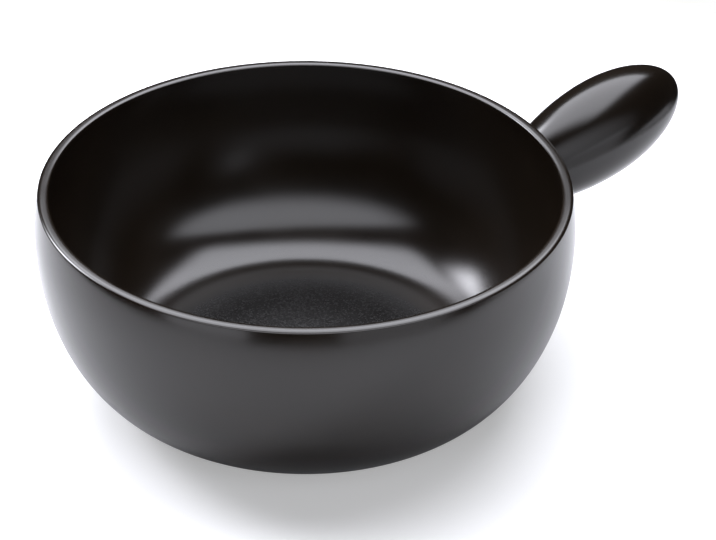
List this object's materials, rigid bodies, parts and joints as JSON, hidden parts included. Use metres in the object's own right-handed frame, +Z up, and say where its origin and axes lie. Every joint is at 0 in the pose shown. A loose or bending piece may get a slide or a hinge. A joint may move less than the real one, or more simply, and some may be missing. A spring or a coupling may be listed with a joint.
{
  "type": "fondue pot",
  "caption": "Round black stoneware fondue pot with a curved-in wall, a thin level lip with rounded edges, a flat floor on a foot ring, and a stubby hollow egg-shaped handle rising from the side.",
  "frame": {"origin": "centre of the plane that the foot ring stands on", "axes": "+Z up along the bowl's axis, +X from the bowl's axis out along the handle"},
  "size_m": [0.3026, 0.23, 0.1102],
  "materials": {
    "bowl_glaze": "satin black glaze, bare clay under the foot ring",
    "handle_glaze": "satin black glaze",
    "seam_glaze": "satin black glaze over fired slip"
  },
  "bodies": {
    "root": {"bowl": "bowl_glaze", "handle": "handle_glaze", "handle_seam": "seam_glaze"}
  },
  "joints": []
}
